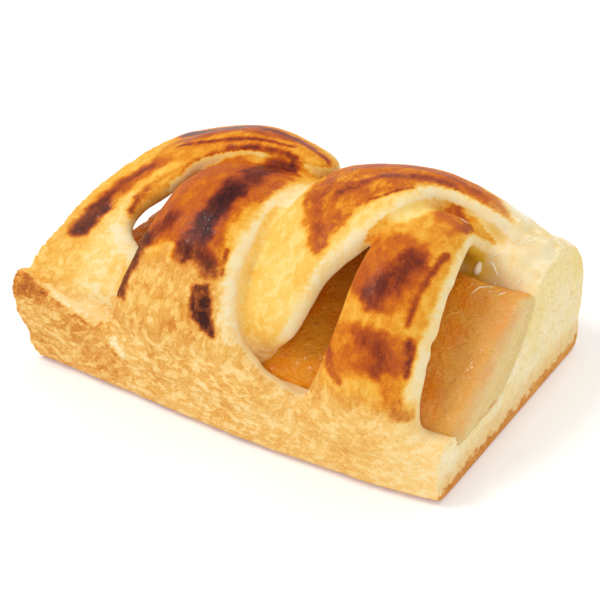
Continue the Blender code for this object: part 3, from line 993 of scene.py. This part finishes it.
@dataclass(frozen=True)
class PearFinish:
    """Cooked pear: grainy, wet and translucent, amber where it is deep and rosy where it is thin."""

    amber: tuple = srgb(250, 150, 12)
    rosy: tuple = srgb(252, 168, 38)
    pale: tuple = srgb(250, 220, 154)
    relief: float = 0.0008

    def make(self) -> bpy.types.Material:
        """Build the material.

        Returns:
            The finished material.
        """
        look = Finish(
            "cooked_pear", Subsurface_Weight=0.35, Subsurface_Radius=(1.0, 0.45, 0.15),
            Subsurface_Scale=0.003, Coat_Roughness=0.08, Specular_IOR_Level=0.3, IOR=1.38,
        )
        place = look.place()
        broad = look.cloud(place, 130.0, 3.0, 0.55, 0.4)
        grain = look.cloud(place, 1300.0, 3.0, 0.7)
        colour = look.mix(look.band(broad, 0.38, 0.62), self.amber, self.rosy)
        thin = look.attribute("thin")
        colour = look.mix(thin * 0.9, colour, self.pale)
        colour = look.mix(look.band(grain, 0.5, 0.75) * (thin * 0.4 + 0.18), colour, self.pale)
        rough = 0.30 + grain * 0.2 + thin * 0.3
        wet = look.band(look.cloud(place, 420.0, 2.0, 0.5), 0.44, 0.58, 0.0, 0.7) * (1.0 - thin)
        height = grain + look.cloud(look.stretch(place, (1.0, 1.0, 2.2)), 420.0, 2.0, 0.6) * 0.8
        normal = look.bump(height, self.relief, 1.0)
        return look.feed(Base_Color=colour, Roughness=rough, Coat_Weight=wet, Normal=normal)


@dataclass(frozen=True)
class Spots:
    """What the painting needs to know of every vertex of the dough.

    Attributes:
        x: Places along the pastry, in millimetres.
        z: Heights, in millimetres.
        angle: Wrap angles in degrees.
        number: Which strap is nearest, in the order of STRAPS.
        name: That strap's name.
        share: The share across that strap, from 0 at its left to 1 at its right edge.
        outward: How squarely the surface faces out of the skin, from -1 to 1.
        down: How squarely it faces down.
        wobble: Random numbers that make edges ragged.
        crumb: How much of the place is cut face.
    """

    x: np.ndarray
    z: np.ndarray
    angle: np.ndarray
    number: np.ndarray
    name: np.ndarray
    share: np.ndarray
    outward: np.ndarray
    down: np.ndarray
    wobble: np.ndarray
    crumb: np.ndarray


@dataclass
class Dough:
    """The baked dough: a trough and its straps as one skin of even mesh, with everything painted on it.

    Attributes:
        coarse: The mesh size in which the straps grow together, in millimetres.
        fine: The final mesh size.
        torn: How dark the torn edges of the straps are, from 0 for cream to 1 for nearly black.
        tail: How dark the pale tail by the cut end is.
        inner: How dark the sides that face inward are at most.
        lip: How dark the edge of the front lip is.
        rind: How dark the crust below the crumb is.
        bottom: How dark the underside is.
        obj: The mesh, once it is built.
    """

    coarse: float = 0.9
    fine: float = 0.78
    torn: float = 0.04
    tail: float = 0.07
    inner: float = 0.13
    lip: float = 0.14
    rind: float = 0.52
    bottom: float = 0.60
    obj: bpy.types.Object | None = field(default=None)

    def shape(self) -> None:
        """Build the body: loft, join, remesh, cut the ends and soften."""
        parts = [Trough().build()] + [strap.build() for strap in STRAPS]
        self.obj = join(parts, "dough_crust")
        apply_modifier(self.obj, "REMESH", mode="VOXEL", voxel_size=self.coarse * MM)
        ENDS.cut(self.obj)
        ENDS.lean(self.obj)
        apply_modifier(self.obj, "REMESH", mode="VOXEL", voxel_size=self.fine * MM)
        apply_modifier(self.obj, "SMOOTH", factor=0.5, iterations=3)
        self.keep_largest()

    def keep_largest(self) -> None:
        """Delete loose shells that stayed shut inside the dough."""
        select_only(self.obj)
        bpy.ops.object.mode_set(mode="EDIT")
        bpy.ops.mesh.select_all(action="SELECT")
        bpy.ops.mesh.separate(type="LOOSE")
        bpy.ops.object.mode_set(mode="OBJECT")
        shells = sorted(bpy.context.selected_objects, key=lambda shell: -len(shell.data.vertices))
        self.obj = shells[0]
        for shell in shells[1:]:
            bpy.data.objects.remove(shell)
        self.obj.name = "dough_crust"

    def surface(self) -> None:
        """Give the skin its unevenness and the cut faces their crumb."""
        places = points_of(self.obj)
        normals = normals_of(self.obj)
        points = places / MM
        crumb = self.crumb(points, normals)
        waves = cloud(points, 9.0, 2) * 0.22 + cloud(points, 2.6, 2, 3.0) * 0.05
        holes = np.clip(cloud(points, 2.3, 3, 6.0) - 0.12, 0, None) * -0.9
        holes += cloud(points, 6.0, 2, 8.0) * 0.25
        folds = cloud(points, 7.0, 2, 17.0) * 0.9 * rise(points[:, 0], 40, 6) * rise(points[:, 2], 27, 5)
        lift = (waves + folds) * (1 - crumb) + np.minimum(holes, 0.0) * crumb
        lift *= rise(points[:, 2], 0.0, 1.5)
        move_points(self.obj, places + normals * lift[:, None] * MM)

    def crumb(self, points: np.ndarray, normals: np.ndarray) -> np.ndarray:
        """Find how much of each place is cut face.

        Args:
            points: Places in millimetres, (count, 3).
            normals: Their normals, (count, 3).

        Returns:
            Shares from 0 to 1.
        """
        left, right = ENDS.nearness(points)
        faces_left = -normals[:, 0] * math.cos(ENDS.slant) + normals[:, 1] * math.sin(ENDS.slant)
        return np.maximum(
            fall(right, 1.6, 1.2) * rise(normals[:, 0], 0.55, 0.3),
            fall(left, 3.4, 1.2) * rise(faces_left, 0.55, 0.3),
        )

    def spots(self) -> Spots:
        """Measure every vertex for the painting.

        Returns:
            The measures, one of each for a vertex.
        """
        points = points_of(self.obj) / MM
        normals = normals_of(self.obj)
        x, _, z = points.T
        angle = SKIN.angle(points)
        number, share = self.nearest(points)
        return Spots(
            x=x, z=z, angle=angle, number=number, share=share,
            name=np.array([strap.name for strap in STRAPS])[number],
            outward=np.sum(normals * SKIN.normal(x, angle), axis=1),
            down=-normals[:, 2],
            wobble=cloud(points, 2.4, 3, 1.0),
            crumb=self.crumb(points, normals),
        )

    def paint(self) -> None:
        """Work out how far each place browned, what is crumb, and how the pattern flows."""
        at = self.spots()
        torn = self.torn_edge(at)
        bottom = rise(at.down, 0.5, 0.3) * fall(at.z, 3.0, 1.5)
        rind = fall(at.z - 2.2 * at.wobble, 5.4, 2.6) * at.crumb
        brown = self.base(at)
        self.brown_patches(at, brown)
        brown -= np.maximum(brown - self.torn, 0.0) * torn
        self.brown_lip(at, brown)
        brown += (self.bottom - brown) * bottom
        brown += (self.rind - brown) * rind
        # Dough facing inward under the fourth strap by the pear: partly syrup-soaked, partly painted shade of
        # that recess. It gets the yellow colour and the wet coat.
        shaded_syrup_pocket = fall(at.outward, 0.3, 0.4) * rise(at.x, 24, 6) * rise(at.z, 24, 3) * fall(at.x, 47, 8)
        tail = (at.name == "strap_3") * rise(at.x, 36, 6) * fall(at.angle, 150, 10) * rise(at.angle, 92, 8)
        for name, values in {
            "brown": brown,
            "wash": self.egg_wash(at) * (1 - rind) * (1 - 0.7 * torn) * (1 - bottom),
            "crumb": at.crumb * (1 - rind),
            "uneven": self.uneven(at),
            "toasted": at.crumb * fall(at.z - 2.0 * at.wobble, 11.0, 9.0) * (1 - rind),
            "damp": at.crumb * rise(at.z + 3.0 * at.wobble, 17.0, 12.0),
            "syrup_and_shade": shaded_syrup_pocket * (1 - at.crumb),
            "wet": np.maximum(tail, shaded_syrup_pocket) * (1 - at.crumb),
            "flow": np.stack([at.x, at.angle * MM_PER_DEGREE, at.number * 20.0], axis=1),
        }.items():
            write_attribute(self.obj, name, values)

    def base(self, at: Spots) -> np.ndarray:
        """Find how dark the dough is before its patches, from the walls to the raised straps.

        Args:
            at: The measures of every vertex.

        Returns:
            Depths from 0 for cream to 1 for nearly black.
        """
        walls = 0.39 - 0.08 * rise(at.x, -45, 35) - 0.11 * rise(at.x, 30, 18)
        brown = np.where(at.angle < 90, walls, 0.34)
        raised = rise(at.angle, -6, 14)
        for name, depth in (("strap_2", 0.38), ("strap_4", 0.42)):
            brown += (depth - brown) * raised * (at.name == name)
        first, third = at.name == "strap_1", at.name == "strap_3"
        brown[first] = (0.34 - 0.18 * rise(at.x, -52, 7) * fall(at.angle, 75, 15))[first]
        brown[third] = (0.22 + 0.15 * rise(at.angle, 118, 25))[third]
        brown = np.where(at.outward < 0.35, np.minimum(brown, self.inner), brown)
        lower_edge = fall(at.outward, 0.75, 0.3) * rise(at.angle, 52, 8) * fall(at.angle, 128, 8)
        brown += (0.45 - brown) * lower_edge * first
        return brown + (self.tail - brown) * self.pale_tail(at)

    def brown_patches(self, at: Spots, brown: np.ndarray) -> None:
        """Brown the patches of each strap, in their order.

        Args:
            at: The measures of every vertex.
            brown: Their depths, which are changed.
        """
        for name, patches in BROWNING.items():
            own = at.name == name
            for patch in patches:
                amount = patch.share(at.x[own], at.angle[own], at.wobble[own])
                amount *= rise(at.outward[own], -patch.wrap, 0.45)
                brown[own] += (patch.depth - brown[own]) * amount

    def brown_lip(self, at: Spots, brown: np.ndarray) -> None:
        """Pale the edge of the front lip, brown its corner, and darken a thin line just below its edge as
        painted shade of the step there.

        Args:
            at: The measures of every vertex.
            brown: Their depths, which are changed.
        """
        own = at.name == "front_lip"
        brown -= own * (brown - self.lip) * rise(at.share + 0.01 * at.wobble, 0.925, 0.02)
        brown += own * 0.16 * fall(at.x, -53.0, 3.0) * rise(at.angle, -10, 15)
        # A thin darker line just below the lip's edge: painted shade of the step.
        brown += own * 0.12 * ease(1.0 - np.abs(at.share - 0.905 + 0.008 * at.wobble) / 0.022)

    def torn_edge(self, at: Spots) -> np.ndarray:
        """Find the right edges of the straps, which tore open in the oven and stayed pale."""
        torn = rise(at.share + 0.03 * at.wobble, 0.86, 0.08) * rise(at.angle, 4, 12)
        return torn * (at.name != "front_lip") * np.where(at.name == "strap_1", fall(at.angle, 56, 8), 1.0)

    def egg_wash(self, at: Spots) -> np.ndarray:
        """Find where the egg wash was brushed: over the straps' outer faces, and hardly on the walls.

        Args:
            at: The measures of every vertex.

        Returns:
            Shares from 0 for bare to 1 for thickly brushed.
        """
        first, second = at.name == "strap_1", at.name == "strap_2"
        wash = np.full(len(at.x), 0.85)
        wash[first] = (0.55 + 0.35 * rise(at.angle, 50, 35))[first]
        wash[second] = (0.20 + 0.75 * rise(at.angle + 8 * at.wobble, 34, 12))[second]
        wash[at.name == "front_lip"] = 0.1
        wash *= rise(at.angle + 6 * at.wobble, -4, 20) * fall(at.angle, 178, 20)
        wash *= rise(at.outward, -0.2, 0.5)
        wash += (0.25 - wash) * self.pale_tail(at)
        return np.clip(wash + 0.08, 0.0, 1.0)

    def pale_tail(self, at: Spots) -> np.ndarray:
        """Find the tail of the third strap by the cut end, where hardly anything browned."""
        return (at.name == "strap_3") * rise(at.x, 36.5, 3) * fall(at.angle, 158, 16)

    def uneven(self, at: Spots) -> np.ndarray:
        """Find how mottled the crust is: most on the walls at the left, hardly at all on pale dough.

        Args:
            at: The measures of every vertex.

        Returns:
            What the mottling is multiplied by.
        """
        amount = np.where(at.angle < 90, 1.0 - 0.35 * rise(at.x, -5, 45), 0.8)
        straps = np.where((at.name == "strap_3") & (at.angle < 100), 1.05, 0.65)
        amount += (straps - amount) * rise(at.angle, 25, 20) * fall(at.angle, 165, 15)
        amount[(at.name == "strap_1") & (at.x > -46) & (at.angle < 70)] = 1.15
        amount += (0.45 - amount) * self.pale_tail(at)
        return np.where(at.outward < 0.35, np.minimum(amount, 0.3), amount)

    def nearest(self, points: np.ndarray) -> tuple[np.ndarray, np.ndarray]:
        """Find the strap whose outer face is nearest to each place.

        Args:
            points: Places in millimetres, (count, 3).

        Returns:
            The number of the strap, and the share across it from 0 at its left to 1 at its right.
        """
        tops = [strap.top() for strap in STRAPS]
        count = sum(len(top) for top, _ in tops)
        tree = kdtree.KDTree(count)
        owner, across = [], []
        for number, (top, share) in enumerate(tops):
            for place, part in zip(top, share):
                tree.insert(place, len(owner))
                owner.append(number)
                across.append(part)
        tree.balance()
        found = np.array([tree.find(point)[1] for point in points])
        return np.array(owner)[found], np.array(across)[found]

    def build(self) -> bpy.types.Object:
        """Make, paint and dress the dough, in the frame's own place.

        Returns:
            The finished dough.
        """
        self.shape()
        self.surface()
        self.paint()
        place_in_frame(self.obj)
        self.obj.data.materials.clear()
        self.obj.data.materials.append(CrustFinish().make())
        return self.obj


@dataclass
class Pear:
    """The cooked pear from end to end: a slab whose upper front face leans back."""

    section: Rows = (
        (-30.6, 14.6), (-27.6, 19.4), (-18.0, 26.0), (-8.0, 31.8), (1.0, 34.2), (7.0, 34.0), (9.4, 31.0),
        (5.6, 24.0), (-1.0, 17.4), (-7.0, 12.4), (-16.0, 11.6), (-28.5, 11.8),
    )
    top: Profile = Profile((
        (-66, 24.4), (-50, 25.2), (-35, 28.0), (-10, 31.5), (20, 33.3), (45, 32.2), (66, 31.6),
    ))
    reach: float = 67.0
    floor: float = 11.0
    sway: float = 0.5
    sway_length: float = 70.0
    left_inset: float = 4.0
    right_inset: float = 0.9
    steps: int = 60
    voxel: float = 0.7
    swell: float = 0.5
    pressed: float = 1.8
    obj: bpy.types.Object | None = field(default=None)

    def shape(self, dough: bpy.types.Object) -> None:
        """Loft the slab, cut its ends and fit it to the dough around it.

        Args:
            dough: The finished dough, which stays as it is.
        """
        tallest = max(z for _, z in self.section)
        rings = []
        for x in np.linspace(-self.reach, self.reach, self.steps):
            scale = (self.top.at(np.array([x]))[0] - self.floor) / (tallest - self.floor)
            shift = self.sway * math.sin(math.tau * x / self.sway_length)
            rings.append([(x, y + shift, self.floor + (z - self.floor) * scale) for y, z in self.section])
        self.obj = tube("pear", np.array(rings))
        ENDS.cut(self.obj, self.left_inset, self.right_inset)
        ENDS.lean(self.obj)
        apply_modifier(self.obj, "REMESH", mode="VOXEL", voxel_size=self.voxel * MM)
        apply_modifier(self.obj, "SMOOTH", factor=0.5, iterations=5)
        self.press()
        apply_modifier(self.obj, "SMOOTH", factor=0.5, iterations=6)
        self.surface()
        place_in_frame(self.obj)
        apply_modifier(self.obj, "BOOLEAN", operation="DIFFERENCE", solver="MANIFOLD", object=dough)

    def surface(self) -> None:
        """Swell the slab a little, give it its grain, and mark where it lies thin by the cut end."""
        places = points_of(self.obj)
        normals = normals_of(self.obj)
        points = places / MM
        lift = self.swell + cloud(points, 9.0, 2, 11.0) * 0.5 + cloud(points, 1.4, 3, 12.0) * 0.22
        move_points(self.obj, places + normals * lift[:, None] * MM)
        x, y, z = points.T
        wobble = cloud(points, 4.0, 2, 14.0)
        deep = (y + 30) * 0.52 - (z - 15) * 0.85
        end = rise(normals_of(self.obj)[:, 0] + 0.3 * wobble, -0.15, 0.9) * rise(x, 44, 7)
        end *= 0.40 + 0.60 * rise(deep + 2.0 * wobble, 0.0, 7)
        edge = rise(x + 5 * wobble, 38, 16)
        write_attribute(self.obj, "thin", np.maximum(0.30 * edge, end))

    def press(self) -> None:
        """Press the lower and back sides into the dough at the cut end, so that no crevice shows there."""
        places = points_of(self.obj)
        normals = normals_of(self.obj)
        buried = rise(normals[:, 1] * 0.9 - normals[:, 2] * 0.5, 0.2, 0.4) * rise(places[:, 0] / MM, 42, 5)
        move_points(self.obj, places + normals * (buried * self.pressed * MM)[:, None])

    def build(self, dough: bpy.types.Object) -> bpy.types.Object:
        """Make and dress the pear.

        Args:
            dough: The finished dough.

        Returns:
            The finished pear.
        """
        self.shape(dough)
        self.obj.name = "pear_slab"
        self.obj.data.materials.clear()
        self.obj.data.materials.append(PearFinish().make())
        return self.obj


@dataclass(frozen=True)
class Thread:
    """A thin near-white run, partly dried juice and partly a painted glint: its line in millimetres, and how
    thick it is in its middle.
    """

    points: Rows
    radius: float = 0.2


@dataclass(frozen=True)
class JuiceAndGlints:
    """Juice of the pear that dried into thin threads on the dough and the pear at the cut end, coloured near
    white so that they also serve as painted glints, some laid along lines of highlight.
    """

    threads: tuple[Thread, ...] = (
        Thread(((46.2, 17.6, 38.4), (47.3, 18.6, 39.3), (47.9, 20.5, 39.7), (49.2, 21.0, 38.9),
                (48.0, 18.8, 38.9), (46.2, 17.6, 38.4)), 0.16),
        Thread(((49.2, 21.0, 38.9), (49.7, 22.4, 38.5)), 0.12),
        Thread(((40.5, 13.3, 35.2), (41.4, 13.6, 35.8), (42.6, 13.9, 36.2), (44.0, 14.7, 37.0),
                (44.8, 16.8, 37.2))),
        Thread(((40.9, 12.5, 34.4), (42.1, 12.3, 34.3), (43.0, 11.7, 33.5), (44.1, 11.2, 32.2)), 0.28),
        Thread(((43.4, 10.6, 30.8), (44.5, 10.0, 29.8), (45.9, 10.4, 30.4)), 0.22),
        Thread(((49.8, 11.7, 32.9), (49.4, 11.3, 31.9), (49.3, 10.9, 30.9)), 0.24),
        Thread(((42.4, 0.5, 32.3), (42.6, 2.5, 32.3), (43.3, 4.5, 32.2), (45.2, 6.3, 32.0)), 0.16),
        Thread(((47.9, 3.6, 32.0), (48.4, 4.9, 31.9), (48.9, 6.3, 31.9)), 0.16),
        Thread(((38.8, 12.8, 33.8), (38.7, 11.4, 31.9), (38.3, 10.6, 30.9)), 1.0),
        Thread(((34.7, 8.7, 47.2), (36.0, 8.6, 47.0), (36.6, 10.5, 45.6)), 0.16),
    )
    steps: int = 24
    around: int = 8

    def lay(self, thread: Thread, under: tuple[bpy.types.Object, ...]) -> bpy.types.Object:
        """Lay one thread on whichever piece is nearest to it.

        Args:
            thread: The run to lay.
            under: The pieces that it may lie on.

        Returns:
            The thread, closed at both ends.
        """
        rows = Profile(thread.points).step(np.linspace(0, 1, self.steps))
        spots, normals = [], []
        for row in rows:
            place = Vector(row) * MM + FRAME_SHIFT
            hits = [obj.closest_point_on_mesh(place)[1:3] for obj in under]
            spot, normal = min(hits, key=lambda hit: (hit[0] - place).length)
            spots.append((spot - FRAME_SHIFT) / MM)
            normals.append(normal)
        line, up = np.array(spots), np.array(normals)
        along = np.gradient(line, axis=0)
        along /= np.linalg.norm(along, axis=1)[:, None] + 1e-9
        side = np.cross(along, up)
        turn = np.linspace(0, 2 * np.pi, self.around, endpoint=False)[None, :, None]
        thick = thread.radius * (0.35 + 0.65 * np.sin(np.linspace(0, np.pi, self.steps)))[:, None, None]
        rings = line[:, None] + thick * (np.cos(turn) * side[:, None] + np.sin(turn) * up[:, None])
        return tube("thread", rings)

    def build(self, under: tuple[bpy.types.Object, ...]) -> bpy.types.Object:
        """Lay all threads and join them.

        Args:
            under: The pieces that they may lie on.

        Returns:
            All threads as one object.
        """
        joined = join([self.lay(thread, under) for thread in self.threads], "juice_and_glint_threads")
        place_in_frame(joined)
        select_only(joined)
        bpy.ops.object.shade_smooth()
        # Near-white colour: partly dried juice, partly painted glint.
        look = Finish("juice_and_glint_white", Base_Color=srgb(255, 246, 214), Roughness=0.12, Coat_Weight=0.6)
        joined.data.materials.append(look.material)
        return joined


def place_in_frame(obj: bpy.types.Object) -> None:
    """Move a finished mesh to the place that the frame gives it."""
    move_points(obj, points_of(obj) + np.array(FRAME_SHIFT))


@dataclass(frozen=True)
class Studio:
    """A white table, soft light and the camera at the photo's angle."""

    azimuth: float = 29.9
    height: float = 35.2
    distance: float = 0.80
    target: Vector = Vector((-0.0042, 0.0, 0.0150)) + FRAME_SHIFT
    pixels_per_mm: float = 4.06
    sensor: float = 36.0
    frame: int = 600
    white: tuple = (1.0, 1.0, 1.0, 1.0)
    table: tuple = (0.9, 0.9, 0.9, 1.0)
    table_size: float = 8.0
    table_glow: float = 0.18
    room_light: float = 0.58

    def camera(self) -> None:
        """Set the camera up."""
        turn, tilt = math.radians(self.azimuth), math.radians(self.height)
        back = Vector((math.sin(turn) * math.cos(tilt), -math.cos(turn) * math.cos(tilt), math.sin(tilt)))
        data = bpy.data.cameras.new("camera")
        data.sensor_width = self.sensor
        data.lens = self.pixels_per_mm / MM * self.sensor * self.distance / self.frame
        camera = bpy.data.objects.new("camera", data)
        bpy.context.scene.collection.objects.link(camera)
        camera.location = self.target + back * self.distance
        camera.rotation_mode = "QUATERNION"
        camera.rotation_quaternion = (-back).to_track_quat("-Z", "Y")
        bpy.context.scene.camera = camera

    def floor(self) -> None:
        """Lay the white table top."""
        bpy.ops.object.select_all(action="DESELECT")
        bpy.ops.mesh.primitive_plane_add(size=self.table_size)
        table = bpy.context.object
        table.name = "table_top"
        look = Finish(
            "white_table", Roughness=0.7, Base_Color=self.table, Specular_IOR_Level=0.0,
            Emission_Color=self.white, Emission_Strength=self.table_glow,
        )
        table.data.materials.append(look.material)

    def lights(self) -> None:
        """Hang three large soft lights and fill the room with white."""
        world = bpy.data.worlds.new("white_room")
        world.use_nodes = True
        colour, strength = world.node_tree.nodes["Background"].inputs[:2]
        colour.default_value = self.white
        strength.default_value = self.room_light
        bpy.context.scene.world = world
        for name, spot, size, power in (
            ("key", (-0.35, -0.20, 0.70), 0.30, 2.5),
            ("back", (0.15, 0.55, 0.6), 0.4, 1.2),
            ("front", (0.45, -0.60, 0.35), 0.5, 1.1),
        ):
            data = bpy.data.lights.new(name, "AREA")
            data.size, data.energy = size, power
            light = bpy.data.objects.new(name, data)
            light.location = spot
            light.rotation_mode = "QUATERNION"
            light.rotation_quaternion = (-Vector(spot)).to_track_quat("-Z", "Y")
            bpy.context.scene.collection.objects.link(light)
        bpy.context.scene.view_settings.view_transform = "Standard"

    def build(self) -> None:
        """Set up everything around the pastry."""
        self.camera()
        self.floor()
        self.lights()


def main() -> None:
    """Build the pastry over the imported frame, piece by piece."""
    logging.basicConfig(level=logging.INFO, format="%(name)s: %(message)s")
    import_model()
    Studio().build()
    dough = Dough().build()
    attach(dough, "root")
    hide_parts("dough")
    log.info("dough: %d faces", len(dough.data.polygons))
    pear = Pear().build(dough)
    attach(pear, "root")
    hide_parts("pear_filling")
    log.info("pear: %d faces", len(pear.data.polygons))
    juice = JuiceAndGlints().build((dough, pear))
    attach(juice, "root")
    log.info("juice: %d faces", len(juice.data.polygons))


if __name__ == "__main__":
    main()
